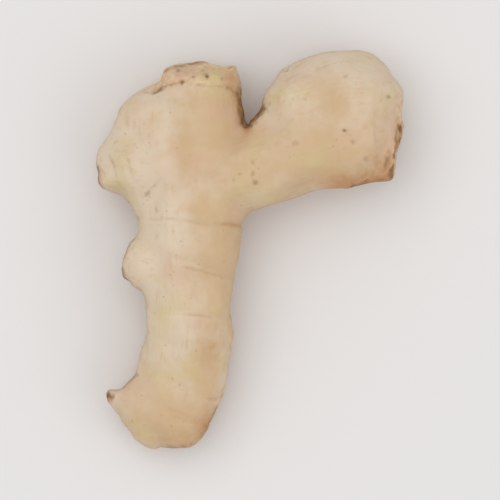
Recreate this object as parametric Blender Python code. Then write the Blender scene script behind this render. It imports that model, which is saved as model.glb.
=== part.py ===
"""A fresh ginger root (rhizome), modelled as one solid lying on a table.

The root is a chain of swellings that grew out of one another: a long stem from the
foot to the crown, the stub of a stalk at the crown's end, a blunt bud on the crown's
side, a neck that carries a second big lobe with a snapped-off stump, a small bud
half way down the stem and a pointed nub on the foot. Each swelling is an oval section
carried along a curved axis. Two ends are cut off, Blender's voxel Remesh fuses the
swellings, the junctions are softened, and hollows, lumps and the ring scars of the
old leaf scales are raised.

Metres, +Z up, the table at Z = 0, the origin under the middle of the root.
Run with: blender --background --python part.py
"""

import math

import bmesh
import bpy
import numpy as np

MM = 0.001

# Overall size in millimetres: across the two lobes, foot to crown, and off the table.
WIDTH = 68.8
LENGTH = 89.4
HEIGHT = 26.6

# How deep the three low points are pressed flat where the root rests, in millimetres.
REST_FLAT = 0.5

# Mesh fineness in millimetres, and the triangles kept at the end.
VOXEL = 0.6
TRIANGLES = 9600

# A ring scar: a lip that rises slowly from the base side and drops sharply on the tip
# side into a shallow groove. Heights and reaches in millimetres.
LIP_HEIGHT = 0.28
LIP_RISE = 1.8
LIP_FALL = 0.6
GROOVE_DEPTH = 0.18
GROOVE_OFFSET = 1.2

# How far a ring wanders along the axis, three times round, in millimetres, and how
# strong it stays where it is faintest and gains where it is plainest.
RING_WANDER = 0.4
RING_FAINTEST = 0.2
RING_GAIN = 0.8

# How far the skin bulges half way between two ring scars, in millimetres.
BULGE = 0.24

# How far the unevenness of the skin reaches up or down, and its waves, in millimetres.
LUMP_HEIGHT = 0.13
LUMP_WAVES = 16
SHORTEST_LUMP = 8.0
LONGEST_LUMP = 26.0

# The sections of a swelling: their distance apart in millimetres, their points, and
# the power of the superellipse, which is 2 for a plain ellipse.
SECTION_GAP = 0.9
SIDES = 72
BOXINESS = 2.25

# How much nearer a point must lie to one swelling than to the next, as shares of the
# section, to be at a junction, well off it, and clear enough of it to carry rings.
AT_JUNCTION = 0.08
OFF_JUNCTION = 0.42
RINGS_START = 0.05
RINGS_FULL = 0.3
WEIGHT_LEVELS = 10

# The share of a cut's rim radius inside which the sunk middle is at its full depth.
SUNK_MIDDLE = 0.45

# Where the stalk was cut off, and where another lobe was snapped off: a point on the
# face, the way the face looks, and how deep its middle has dried in, inside a rim of
# this radius. Millimetres.
STALK_CUT = {"at": (-10.8, 41.4, 12.8), "looks": (-0.04, 0.97, 0.2), "sunk": 0.4, "rim": 7.5}
LOBE_CUT = {"at": (33.4, 21.8, 12.6), "looks": (0.98, -0.16, 0.08), "sunk": 0.5, "rim": 6.5}

# Shallow hollows in the upper skin: middle, half length, half width, the direction
# of the length in degrees from +X, and depth. Millimetres.
HOLLOWS = (
    {"at": (-12.4, 21.5), "length": 12.0, "width": 4.2, "turn": 97.0, "depth": 0.8},
    {"at": (16.5, 32.0), "length": 6.0, "width": 4.0, "turn": 120.0, "depth": 0.7},
    {"at": (0.4, 21.0), "length": 6.5, "width": 2.0, "turn": 78.0, "depth": 0.7},
    {"at": (-21.2, 12.6), "length": 6.0, "width": 1.5, "turn": 65.0, "depth": 0.5},
    {"at": (-9.5, -23.0), "length": 9.0, "width": 3.0, "turn": 86.0, "depth": 0.5},
)


class Swelling:
    """An oval section carried along a smooth axis, from where it grows out to its tip.

    Each station is (x, y, z, half width, half height) in millimetres. The two ends are
    rounded off over base_round and tip_round, and blend is the radius that softens the
    junctions with its neighbours. Scars are distances along the axis, and lean says how
    many millimetres each ring runs ahead on the left of the section. A swelling with a
    cut ends flat on that face.
    """

    def __init__(self, stations, base_round, tip_round, blend, scars=(), lean=0.0, cut=None):
        stations = np.array(stations, float)
        reach = np.linalg.norm(np.diff(stations[:, :3], axis=0), axis=1).sum()
        path = through(stations, round(reach / SECTION_GAP))
        self.centre = path[:, :3]
        steps = np.linalg.norm(np.diff(self.centre, axis=0), axis=1)
        self.along = np.concatenate([[0.0], np.cumsum(steps)])
        length = self.along[-1]
        ends = rounded(self.along, base_round) * rounded(length - self.along, tip_round)
        self.half_width = path[:, 3] * ends
        self.half_height = path[:, 4] * ends
        self.forward = unit(np.gradient(self.centre, axis=0))
        self.sideways = unit(np.cross([0.0, 0.0, 1.0], self.forward))
        self.upward = np.cross(self.forward, self.sideways)
        self.length = length
        self.blend = blend
        self.scars = scars
        self.lean = lean
        self.cut = cut

    def surface(self):
        """Points of the swelling's skin, one row for each section. What lies beyond the
        cut slides back along the axis to the cut face."""
        turn = np.linspace(0.0, 2.0 * math.pi, SIDES, endpoint=False)
        across = signed_power(np.cos(turn), 2.0 / BOXINESS)
        up = signed_power(np.sin(turn), 2.0 / BOXINESS)
        points = (
            self.centre[:, None]
            + (self.half_width[:, None] * across)[:, :, None] * self.sideways[:, None]
            + (self.half_height[:, None] * up)[:, :, None] * self.upward[:, None]
        )
        if self.cut:
            looks = unit(np.array(self.cut["looks"]))
            beyond = np.maximum((points - self.cut["at"]) @ looks, 0.0)
            slope = self.forward @ looks
            points -= (beyond / slope[:, None])[:, :, None] * self.forward[:, None]
        return points

    def coordinates(self, points):
        """For each point: distance along the axis, angle round it, and how far out it
        lies as a share of the section there, where 1 is the swelling's own skin."""
        near = np.linalg.norm(points[:, None] - self.centre[None], axis=2).argmin(axis=1)
        offset = points - self.centre[near]
        ahead = (offset * self.forward[near]).sum(axis=1)
        width = np.maximum(self.half_width[near], 1.0)
        height = np.maximum(self.half_height[near], 1.0)
        side = (offset * self.sideways[near]).sum(axis=1) / width
        up = (offset * self.upward[near]).sum(axis=1) / height
        out = np.sqrt(side**2 + up**2 + (ahead / width) ** 2)
        return self.along[near] + ahead, np.arctan2(up, side), out

    def ring_relief(self, along, angle):
        """Height in millimetres of the ring scars, each of which fades out in places,
        and of the bulge between them."""
        leaning = along + self.lean * np.cos(angle)
        stage = np.interp(leaning, (0.0, *self.scars, self.length), range(len(self.scars) + 2))
        height = BULGE * (np.sin(math.pi * stage) ** 2 - 0.5)
        for number, scar in enumerate(self.scars):
            past = leaning + RING_WANDER * np.sin(3.0 * angle + 1.7 * number) - scar
            reach = np.where(past < 0.0, LIP_RISE, LIP_FALL)
            plainness = 0.5 + 0.5 * np.sin(angle + 2.3 * number + scar)
            strength = RING_FAINTEST + RING_GAIN * plainness
            lip = LIP_HEIGHT * np.exp(-((past / reach) ** 2))
            groove = GROOVE_DEPTH * np.exp(-(((past - GROOVE_OFFSET) / LIP_FALL) ** 2))
            height += strength * (lip - groove)
        return height


def through(stations, count):
    """A Catmull-Rom curve through the stations, as count evenly parameterised rows."""
    first = 2.0 * stations[0] - stations[1]
    last = 2.0 * stations[-1] - stations[-2]
    held = np.vstack([first, stations, last])
    at = np.linspace(0.0, len(stations) - 1.0, count)
    span = np.minimum(at.astype(int), len(stations) - 2)
    u = (at - span)[:, None]
    a, b, c, d = (held[span + k] for k in range(4))
    return 0.5 * (
        2.0 * b
        + (c - a) * u
        + (2.0 * a - 5.0 * b + 4.0 * c - d) * u**2
        + (3.0 * b - 3.0 * c + d - a) * u**3
    )


def rounded(distance, reach):
    """0 at an end and 1 from reach inwards, following a quarter circle."""
    short = np.clip(1.0 - distance / reach, 0.0, 1.0)
    return np.sqrt(1.0 - short**2)


def unit(vectors):
    return vectors / np.linalg.norm(vectors, axis=-1, keepdims=True)


def signed_power(values, power):
    return np.sign(values) * np.abs(values) ** power


def smoothstep(values, low, high):
    share = np.clip((values - low) / (high - low), 0.0, 1.0)
    return share * share * (3.0 - 2.0 * share)


def stem():
    """From the foot up the trunk to the crown."""
    stations = (
        (-19.3, -44.9, 8.8, 8.6, 7.6),
        (-19.0, -40.0, 8.3, 9.9, 8.3),
        (-17.4, -34.0, 8.5, 10.7, 8.8),
        (-15.5, -27.0, 10.1, 10.2, 8.8),
        (-14.8, -18.0, 12.0, 10.1, 9.0),
        (-14.7, -8.0, 12.8, 10.4, 9.3),
        (-14.0, 1.0, 12.7, 11.3, 10.1),
        (-14.2, 9.0, 11.9, 12.6, 11.1),
        (-14.8, 17.0, 11.2, 13.8, 11.9),
        (-15.4, 25.0, 11.0, 14.5, 12.1),
        (-15.6, 31.0, 11.5, 14.3, 11.7),
        (-15.4, 38.8, 12.4, 13.0, 10.4),
    )
    scars = (6.5, 15.0, 24.0, 31.0, 41.0, 50.5, 64.0, 74.0)
    return Swelling(stations, 4.5, 8.0, blend=2.4, scars=scars, lean=-1.0)


def stalk_stub():
    """What is left of the stalk at the crown's end."""
    stations = (
        (-12.4, 22.0, 11.8, 9.4, 10.6),
        (-12.1, 30.0, 12.2, 9.5, 10.2),
        (-11.5, 37.0, 12.8, 8.9, 9.2),
        (-11.2, 41.0, 13.2, 8.0, 8.2),
        (-11.0, 46.0, 13.6, 6.6, 6.8),
    )
    return Swelling(stations, 5.0, 1.5, blend=3.0, cut=STALK_CUT)


def crown_bud():
    """The blunt bud that points left from the crown."""
    stations = (
        (-14.0, 19.6, 11.6, 11.4, 10.8),
        (-22.0, 19.2, 11.5, 11.6, 10.4),
        (-28.0, 18.3, 11.3, 9.0, 8.8),
        (-32.0, 16.9, 11.2, 6.3, 6.6),
        (-34.9, 15.7, 11.1, 4.4, 4.8),
    )
    scars = (12.4, 16.6, 19.4)
    return Swelling(stations, 4.0, 2.6, blend=3.6, scars=scars, lean=0.8)


def neck():
    """The bridge from the stem to the side lobe."""
    stations = (
        (-12.0, 13.8, 12.2, 8.6, 10.6),
        (-4.0, 16.4, 12.4, 9.0, 11.4),
        (4.0, 19.6, 12.7, 9.4, 12.0),
        (12.0, 23.4, 13.0, 10.4, 12.6),
        (20.0, 26.4, 13.0, 10.0, 12.2),
    )
    return Swelling(stations, 4.0, 6.0, blend=5.0)


def side_lobe():
    """The big lobe beside the crown."""
    stations = (
        (5.0, 23.6, 12.8, 8.4, 9.6),
        (8.0, 26.0, 12.7, 11.0, 11.4),
        (12.0, 27.9, 12.8, 13.5, 12.6),
        (17.0, 28.9, 12.8, 15.3, 13.2),
        (22.5, 29.2, 13.0, 15.7, 13.2),
        (27.0, 28.9, 13.3, 14.9, 12.8),
        (31.0, 28.5, 13.5, 13.0, 11.7),
        (35.2, 28.2, 13.7, 11.0, 10.2),
    )
    scars = (10.5, 17.0, 25.0)
    return Swelling(stations, 8.0, 8.0, blend=2.4, scars=scars, lean=1.6)


def lobe_stump():
    """Where another lobe was snapped off the side lobe."""
    stations = (
        (16.0, 23.2, 12.8, 8.8, 9.8),
        (24.0, 22.4, 12.7, 8.4, 9.6),
        (31.0, 22.2, 12.6, 7.2, 8.6),
        (36.0, 21.8, 12.6, 6.6, 7.8),
    )
    return Swelling(stations, 5.0, 1.5, blend=3.6, cut=LOBE_CUT)


def stem_bud():
    """The small bud half way down the stem."""
    stations = (
        (-14.5, -5.4, 12.8, 8.8, 8.2),
        (-21.0, -4.2, 13.0, 8.2, 7.6),
        (-26.0, -3.0, 13.2, 5.8, 5.8),
        (-29.6, -2.0, 13.3, 3.2, 3.4),
    )
    scars = (9.6, 12.4)
    return Swelling(stations, 3.0, 1.8, blend=2.4, scars=scars, lean=0.3)


def foot_nub():
    """The pointed nub on the foot."""
    stations = (
        (-18.0, -36.4, 8.5, 9.6, 8.0),
        (-24.0, -35.5, 8.5, 9.2, 7.6),
        (-28.2, -34.7, 8.6, 6.5, 5.8),
        (-31.2, -33.9, 8.8, 3.7, 3.5),
        (-33.7, -33.1, 9.0, 1.5, 1.6),
    )
    scars = (8.0, 11.6)
    return Swelling(stations, 3.0, 1.2, blend=3.0, scars=scars, lean=0.3)


def shell_mesh(parts):
    """One mesh holding a closed shell for each swelling."""
    vertices, faces, start = [], [], 0
    for part in parts:
        rows = part.surface()
        count = len(rows)
        first, last = start + 1, start + 1 + (count - 1) * SIDES
        end = start + 1 + count * SIDES
        vertices += [rows[0].mean(axis=0)[None], rows.reshape(-1, 3), rows[-1].mean(axis=0)[None]]
        for k in range(SIDES):
            after = (k + 1) % SIDES
            faces.append((start, first + after, first + k))
            faces.append((end, last + k, last + after))
            for row in range(count - 1):
                low = first + row * SIDES
                faces.append((low + k, low + after, low + SIDES + after, low + SIDES + k))
        start = end + 1
    mesh = bpy.data.meshes.new("shells")
    mesh.from_pydata(np.concatenate(vertices) * MM, [], faces)
    return mesh


def as_modified(obj):
    """A new mesh of the object as its modifiers leave it, in its own place."""
    graph = bpy.context.evaluated_depsgraph_get()
    return bpy.data.meshes.new_from_object(obj.evaluated_get(graph))


def positions(mesh):
    flat = np.empty(len(mesh.vertices) * 3, np.float32)
    mesh.vertices.foreach_get("co", flat)
    return flat.reshape(-1, 3).astype(float)


def set_positions(mesh, points):
    mesh.vertices.foreach_set("co", points.astype(np.float32).ravel())
    mesh.update()


def normals(mesh):
    flat = np.empty(len(mesh.vertices) * 3, np.float32)
    mesh.vertex_normals.foreach_get("vector", flat)
    return flat.reshape(-1, 3).astype(float)


def fused(obj):
    """Replaces the overlapping shells by one skin of even quads."""
    remesh = obj.modifiers.new("fuse", "REMESH")
    remesh.mode = "VOXEL"
    remesh.voxel_size = VOXEL * MM
    settle = obj.modifiers.new("settle", "SMOOTH")
    settle.factor = 0.5
    settle.iterations = 4
    obj.data = as_modified(obj)
    obj.modifiers.clear()


def owners(parts, points):
    """For each point: the two swellings whose skin it lies nearest, how much nearer the
    first is, and its distance along that one and angle round it."""
    fields = np.array([part.coordinates(points) for part in parts])
    nearest, second = fields[:, 2].argsort(axis=0)[:2]
    columns = np.arange(len(points))
    along, angle, out = fields[nearest, :, columns].T
    margin = fields[second, 2, columns] - out
    return nearest, second, margin, along, angle


def soften_junctions(obj, parts):
    """Smooths the skin where two swellings meet, and leaves the rest alone. Smoothing
    reaches as far as the square root of weight times passes, so the weight goes with
    the square of the radius."""
    nearest, second, margin, _, _ = owners(parts, positions(obj.data) / MM)
    blends = np.array([part.blend for part in parts])
    radius = np.maximum(blends[nearest], blends[second])
    at_junction = 1.0 - smoothstep(margin, AT_JUNCTION, OFF_JUNCTION)
    weight = at_junction * (radius / blends.max()) ** 2
    group = obj.vertex_groups.new(name="junction")
    for level in range(1, WEIGHT_LEVELS + 1):
        chosen = np.flatnonzero(np.round(weight * WEIGHT_LEVELS) == level)
        group.add(chosen.tolist(), level / WEIGHT_LEVELS, "REPLACE")
    soften = obj.modifiers.new("soften", "SMOOTH")
    soften.vertex_group = group.name
    soften.factor = 0.5
    soften.iterations = round(2.0 * (blends.max() / VOXEL) ** 2)
    obj.data = as_modified(obj)
    obj.modifiers.clear()


def lumps(points):
    """A gentle unevenness in millimetres: waves of different length and direction."""
    waves = np.random.default_rng(7)
    height = np.zeros(len(points))
    for _ in range(LUMP_WAVES):
        direction = unit(waves.normal(size=3))
        length = waves.uniform(SHORTEST_LUMP, LONGEST_LUMP)
        phase = waves.uniform(0.0, 2.0 * math.pi)
        height += np.sin(2.0 * math.pi * (points @ direction) / length + phase)
    return LUMP_HEIGHT * height


def hollow_depth(points, facing_up):
    """How far the shallow hollows press each point of the upper skin in, in millimetres."""
    depth = np.zeros(len(points))
    for hollow in HOLLOWS:
        turn = math.radians(hollow["turn"])
        offset = points[:, :2] - hollow["at"]
        lengthwise = offset @ [math.cos(turn), math.sin(turn)] / hollow["length"]
        crosswise = offset @ [-math.sin(turn), math.cos(turn)] / hollow["width"]
        depth += hollow["depth"] * np.exp(-(lengthwise**2) - crosswise**2)
    return depth * smoothstep(facing_up, 0.0, 0.5)


def cut_depth(points):
    """How far the dried middle of each cut end has sunk in, in millimetres."""
    depth = np.zeros(len(points))
    for cut in (STALK_CUT, LOBE_CUT):
        offset = points - cut["at"]
        behind = offset @ unit(np.array(cut["looks"]))
        across = np.sqrt(np.maximum((offset**2).sum(axis=1) - behind**2, 0.0))
        inside = 1.0 - smoothstep(across, SUNK_MIDDLE * cut["rim"], cut["rim"])
        depth += cut["sunk"] * inside * np.exp(-(behind**2))
    return depth


def raise_relief(obj, parts):
    """Moves the skin along its normals by the scars, lumps, hollows and sunk ends."""
    points = positions(obj.data) / MM
    outward = normals(obj.data)
    nearest, _, margin, along, angle = owners(parts, points)
    relief = lumps(points) - hollow_depth(points, outward[:, 2]) - cut_depth(points)
    for number, part in enumerate(parts):
        own = nearest == number
        clear = smoothstep(margin[own], RINGS_START, RINGS_FULL)
        relief[own] += clear * part.ring_relief(along[own], angle[own])
    set_positions(obj.data, (points + outward * relief[:, None]) * MM)


def thin_out(obj):
    """Keeps the triangles that the ring scars need and drops the rest."""
    obj.data.calc_loop_triangles()
    thin = obj.modifiers.new("thin", "DECIMATE")
    thin.ratio = TRIANGLES / len(obj.data.loop_triangles)
    thin.use_collapse_triangulate = True
    obj.data = as_modified(obj)
    obj.modifiers.clear()


def fit_to_size(mesh, floor):
    """Scales the mesh to the overall size, with floor millimetres of it below Z = 0."""
    points = positions(mesh)
    low, high = points.min(axis=0), points.max(axis=0)
    size = np.array([WIDTH, LENGTH, HEIGHT + floor]) * MM
    low_corner = np.array([-WIDTH / 2.0, -LENGTH / 2.0, -floor]) * MM
    set_positions(mesh, low_corner + (points - low) * size / (high - low))


def press_flat(mesh):
    """Cuts the lowest skin away at the table, which leaves the flats it rests on."""
    shape = bmesh.new()
    shape.from_mesh(mesh)
    geometry = shape.verts[:] + shape.edges[:] + shape.faces[:]
    bmesh.ops.bisect_plane(
        shape, geom=geometry, dist=1e-6, plane_co=(0, 0, 0), plane_no=(0, 0, 1), clear_inner=True
    )
    rim = [edge for edge in shape.edges if edge.is_boundary]
    bmesh.ops.holes_fill(shape, edges=rim)
    bmesh.ops.recalc_face_normals(shape, faces=shape.faces)
    shape.to_mesh(mesh)
    shape.free()


def skin_material():
    material = bpy.data.materials.new("ginger_skin")
    material.use_nodes = True
    shader = material.node_tree.nodes["Principled BSDF"]
    shader.inputs["Base Color"].default_value = (0.62, 0.46, 0.28, 1.0)
    shader.inputs["Roughness"].default_value = 0.55
    shader.inputs["Metallic"].default_value = 0.0
    return material


def main():
    for obj in list(bpy.data.objects):
        bpy.data.objects.remove(obj)
    parts = [
        stem(),
        stalk_stub(),
        crown_bud(),
        neck(),
        side_lobe(),
        lobe_stump(),
        stem_bud(),
        foot_nub(),
    ]
    root = bpy.data.objects.new("ginger_root", shell_mesh(parts))
    bpy.context.scene.collection.objects.link(root)
    fused(root)
    soften_junctions(root, parts)
    raise_relief(root, parts)
    thin_out(root)
    fit_to_size(root.data, REST_FLAT)
    press_flat(root.data)
    root.data.shade_smooth()
    root.data.materials.append(skin_material())


main()
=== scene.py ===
# %% [markdown]
# # A fresh ginger root
#
# Ginger is sold as a root, but it is a stem that swells and forks under the ground.
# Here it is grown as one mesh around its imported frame, given the skin, the cut ends
# and the marks of the real one, and photographed from straight above.

# %% Load the frame
import itertools
import math

import bpy
import numpy as np
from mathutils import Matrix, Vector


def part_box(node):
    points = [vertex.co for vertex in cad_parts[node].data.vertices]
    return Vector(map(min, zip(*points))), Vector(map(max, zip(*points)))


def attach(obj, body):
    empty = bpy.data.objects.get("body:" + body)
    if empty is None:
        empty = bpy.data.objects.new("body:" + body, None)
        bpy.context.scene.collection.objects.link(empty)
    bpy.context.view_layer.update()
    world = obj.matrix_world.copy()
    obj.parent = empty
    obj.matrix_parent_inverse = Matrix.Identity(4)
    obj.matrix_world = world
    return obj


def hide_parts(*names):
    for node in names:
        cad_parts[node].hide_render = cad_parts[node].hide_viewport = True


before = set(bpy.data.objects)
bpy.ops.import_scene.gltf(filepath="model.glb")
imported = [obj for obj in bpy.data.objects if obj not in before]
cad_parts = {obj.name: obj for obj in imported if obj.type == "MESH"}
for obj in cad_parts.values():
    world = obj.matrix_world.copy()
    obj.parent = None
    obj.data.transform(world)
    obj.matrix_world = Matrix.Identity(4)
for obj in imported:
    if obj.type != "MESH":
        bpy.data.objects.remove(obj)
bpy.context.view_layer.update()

MM = 0.001
low_corner, high_corner = (np.array(corner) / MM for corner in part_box("ginger_root"))
print("the root's box in millimetres:", low_corner.round(1), high_corner.round(1))

# %% [markdown]
# ## Small maths
#
# Every shape below is worked out on whole arrays of points, one row for each point.
# Smoothstep is the soft switch and the bell the soft spot that most masks are made of.


# %% Small maths
def unit(vectors):
    """Each vector divided by its own length."""
    return vectors / np.linalg.norm(vectors, axis=-1, keepdims=True)


def smoothstep(values, low, high):
    """0 up to low, 1 from high on, and between them 3 s squared minus 2 s cubed."""
    share = np.clip((values - low) / (high - low), 0.0, 1.0)
    return share * share * (3.0 - 2.0 * share)


def bell(distance, reach):
    """1 in the middle, falling as e to the minus (distance over reach) squared."""
    return np.exp(-((distance / reach) ** 2))


def signed_power(values, power):
    """The size of each value raised to the power, with its own sign put back."""
    return np.sign(values) * np.abs(values) ** power


# %% [markdown]
# ## Noise
#
# Nothing on a root repeats, so most of its detail is steered by noise. Blender's own
# noise could be called point by point, but the same recipe on arrays is far faster.


# %% Noise
def noise(points, size, seed):
    """Smooth noise between about -1 and 1, with bumps `size` apart: each corner of a
    cubic lattice has a random slope, its value at a point is the slope dotted with the
    way from the corner, and the eight corners are blended by a quintic fade."""
    table = np.random.default_rng(seed)
    order = table.permutation(256)
    slopes = unit(table.normal(size=(256, 3)))
    cell = np.floor(points / size).astype(int)
    inside = points / size - cell
    fade = inside**3 * (inside * (6.0 * inside - 15.0) + 10.0)
    total = np.zeros(len(points))
    for corner in itertools.product((0, 1), repeat=3):
        x, y, z = ((cell + corner) & 255).T
        slope = slopes[order[(order[(order[x] + y) & 255] + z) & 255]]
        weight = np.where(corner, fade, 1.0 - fade).prod(axis=1)
        total += weight * (slope * (inside - corner)).sum(axis=1)
    return 1.6 * total


trial = noise(np.random.default_rng(1).uniform(0.0, 50.0, (20000, 3)), 3.0, 1)
print("noise runs from", trial.min().round(2), "to", trial.max().round(2))

# %% [markdown]
# ## A swelling
#
# The root is a chain of swellings, each a season's growth. One is an oval section
# carried along a bent axis: a few stations give the axis and the section's half width
# and half height, and a smooth curve fills them in. The same object also tells, for
# any point near it, how far along the axis and how far round the point lies, because
# the ring scars and the fibres of the skin follow those two directions.

# %% Section of a swelling
SECTION_GAP = 0.9
SIDES = 72
BOXINESS = 2.25


def through(stations, count):
    """A Catmull-Rom curve: between two stations it is the cubic whose slope at each
    one is half the way from the station before to the station after."""
    first = 2.0 * stations[0] - stations[1]
    last = 2.0 * stations[-1] - stations[-2]
    held = np.vstack([first, stations, last])
    at = np.linspace(0.0, len(stations) - 1.0, count)
    span = np.minimum(at.astype(int), len(stations) - 2)
    u = (at - span)[:, None]
    a, b, c, d = (held[span + k] for k in range(4))
    return 0.5 * (
        2.0 * b
        + (c - a) * u
        + (2.0 * a - 5.0 * b + 4.0 * c - d) * u**2
        + (3.0 * b - 3.0 * c + d - a) * u**3
    )


def rounded(distance, reach):
    """0 at an end and 1 from reach inwards, along a quarter circle."""
    return np.sqrt(1.0 - np.clip(1.0 - distance / reach, 0.0, 1.0) ** 2)


# %% Ring scars
BULGE = 0.24
LIP_HEIGHT = 0.28
LIP_RISE = 1.8
LIP_FALL = 0.6
GROOVE_DEPTH = 0.18
GROOVE_OFFSET = 1.2
RING_WANDER = 0.4
RING_FAINTEST = 0.2
RING_GAIN = 0.8
FRAY_RISE = 0.9
FRAY_FALL = 0.3
SCAR_LINE = 0.45


# %% The swelling itself
class Swelling:
    """Stations are (x, y, z, half width, half height) in millimetres. The ends are
    rounded off over base_round and tip_round, and blend is the radius that softens the
    junctions. Scars are distances along the axis, and lean is how far each ring runs
    ahead on the left. A cut swelling ends flat on the face of its cut."""

    def __init__(self, stations, base_round, tip_round, blend, scars=(), lean=0.0, cut=None):
        stations = np.array(stations, float)
        reach = np.linalg.norm(np.diff(stations[:, :3], axis=0), axis=1).sum()
        path = through(stations, round(reach / SECTION_GAP))
        self.centre = path[:, :3]
        steps = np.linalg.norm(np.diff(self.centre, axis=0), axis=1)
        self.along = np.concatenate([[0.0], np.cumsum(steps)])
        self.length = self.along[-1]
        ends = rounded(self.along, base_round) * rounded(self.length - self.along, tip_round)
        self.half_width = path[:, 3] * ends
        self.half_height = path[:, 4] * ends
        self.forward = unit(np.gradient(self.centre, axis=0))
        self.sideways = unit(np.cross([0.0, 0.0, 1.0], self.forward))
        self.upward = np.cross(self.forward, self.sideways)
        self.blend = blend
        self.scars = scars
        self.lean = lean
        self.cut = cut

    def surface(self):
        """A grid of points: at each section the superellipse, its cosine and sine each
        raised to 2 / BOXINESS, laid across and up from the axis. What lies beyond the
        cut slides back along the axis to the cut's face."""
        turn = np.linspace(0.0, 2.0 * math.pi, SIDES, endpoint=False)
        across = self.half_width[:, None] * signed_power(np.cos(turn), 2.0 / BOXINESS)
        up = self.half_height[:, None] * signed_power(np.sin(turn), 2.0 / BOXINESS)
        points = (
            self.centre[:, None]
            + across[:, :, None] * self.sideways[:, None]
            + up[:, :, None] * self.upward[:, None]
        )
        if self.cut:
            looks = unit(np.array(self.cut["looks"]))
            beyond = np.maximum((points - self.cut["at"]) @ looks, 0.0)
            points -= (beyond / (self.forward @ looks)[:, None])[:, :, None] * self.forward[:, None]
        return points

    def coordinates(self, points):
        """For each point, from the section nearest to it: side and up from the axis and
        along it in millimetres, and how far out it lies, where 1 is the skin."""
        squares = (self.centre**2).sum(axis=1)
        near = (squares - 2.0 * points @ self.centre.T).argmin(axis=1)
        offset = points - self.centre[near]
        ahead = (offset * self.forward[near]).sum(axis=1)
        side = (offset * self.sideways[near]).sum(axis=1)
        up = (offset * self.upward[near]).sum(axis=1)
        width = np.maximum(self.half_width[near], 1.0)
        height = np.maximum(self.half_height[near], 1.0)
        out = np.sqrt((side / width) ** 2 + (up / height) ** 2 + (ahead / width) ** 2)
        angle = np.arctan2(up / height, side / width)
        return np.stack([side, up, self.along[near] + ahead, angle, out])

    def rings(self, along, angle, fray):
        """Height of the scars and how dark each is. A scar is a lip, a bell that rises
        slowly and falls fast, less a groove, a narrow bell just past it, and between
        scars the skin bulges as sine squared. Fray shifts a scar to and fro."""
        leaning = along + self.lean * np.cos(angle)
        stage = np.interp(leaning, (0.0, *self.scars, self.length), range(len(self.scars) + 2))
        height = BULGE * (np.sin(math.pi * stage) ** 2 - 0.5)
        frayed = np.zeros(len(along))
        dark = np.zeros(len(along))
        for number, scar in enumerate(self.scars):
            past = leaning + RING_WANDER * np.sin(3.0 * angle + 1.7 * number) - scar
            plainness = 0.5 + 0.5 * np.sin(angle + 2.3 * number + scar)
            strength = RING_FAINTEST + RING_GAIN * plainness
            lip = LIP_HEIGHT * bell(past, np.where(past < 0.0, LIP_RISE, LIP_FALL))
            groove = GROOVE_DEPTH * bell(past - GROOVE_OFFSET, LIP_FALL)
            height += strength * (lip - groove)
            edge = past + fray
            frayed += strength * bell(edge, np.where(edge < 0.0, FRAY_RISE, FRAY_FALL))
            dark = np.maximum(dark, strength * bell(edge - FRAY_FALL, SCAR_LINE))
        return height, frayed, dark


# %% [markdown]
# ## Where the root was cut
#
# The stalk was cut off at the crown, and another lobe was snapped off the side lobe.
# Both wounds dried to a corky face. Each is a point, the way its face looks, how deep
# its middle has sunk, the radius of its rim and how dark the torn skin round it dried.
# Cork also creeps back over the skin: its reach is given at a few places across the
# face, seen from above.

# %% The two cuts
STALK_CUT = {
    "at": (-10.8, 41.4, 12.8),
    "looks": (-0.04, 0.97, 0.2),
    "sunk": 0.4,
    "rim": 7.5,
    "torn": 0.3,
    "creep": ((-13.8, 4.9), (-8.5, 4.2), (-4.4, 3.0), (1.3, 3.6), (5.8, 4.0), (7.8, 5.0)),
}
LOBE_CUT = {
    "at": (33.4, 21.8, 12.6),
    "looks": (0.98, -0.16, 0.08),
    "sunk": 0.5,
    "rim": 6.5,
    "torn": 0.9,
    "creep": ((-7.0, 0.4), (7.0, 0.4)),
}
CUTS = (STALK_CUT, LOBE_CUT)
SUNK_MIDDLE = 0.45

# %% [markdown]
# ## The swellings of this root
#
# A long stem runs from the foot up to the crown, where the stalk stood, and a blunt
# bud points left from the crown. The sizes are read off the root in millimetres.

# %% Stem, stalk stub and crown bud
stem = Swelling(
    (
        (-19.3, -44.9, 8.8, 8.6, 7.6),
        (-19.0, -40.0, 8.3, 9.9, 8.3),
        (-17.4, -34.0, 8.5, 10.7, 8.8),
        (-15.5, -27.0, 10.1, 10.2, 8.8),
        (-14.8, -18.0, 12.0, 10.1, 9.0),
        (-14.7, -8.0, 12.8, 10.4, 9.3),
        (-14.0, 1.0, 12.7, 11.3, 10.1),
        (-14.2, 9.0, 11.9, 12.6, 11.1),
        (-14.8, 17.0, 11.2, 13.8, 11.9),
        (-15.4, 25.0, 11.0, 14.5, 12.1),
        (-15.6, 31.0, 11.5, 14.3, 11.7),
        (-15.4, 38.8, 12.4, 13.0, 10.4),
    ),
    4.5,
    8.0,
    blend=2.4,
    scars=(6.5, 15.0, 24.0, 31.0, 41.0, 50.5, 64.0, 74.0),
    lean=-1.0,
)
stalk_stub = Swelling(
    (
        (-12.4, 22.0, 11.8, 9.4, 10.6),
        (-12.1, 30.0, 12.2, 9.5, 10.2),
        (-11.5, 37.0, 12.8, 8.9, 9.2),
        (-11.2, 41.0, 13.2, 8.0, 8.2),
        (-11.0, 46.0, 13.6, 6.6, 6.8),
    ),
    5.0,
    1.5,
    blend=3.0,
    cut=STALK_CUT,
)
crown_bud = Swelling(
    (
        (-14.0, 19.6, 11.6, 11.4, 10.8),
        (-22.0, 19.2, 11.5, 11.6, 10.4),
        (-28.0, 18.3, 11.3, 9.0, 8.8),
        (-32.0, 16.9, 11.2, 6.3, 6.6),
        (-34.9, 15.7, 11.1, 4.4, 4.8),
    ),
    4.0,
    2.6,
    blend=3.6,
    scars=(12.4, 16.6, 19.4),
    lean=0.8,
)

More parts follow.
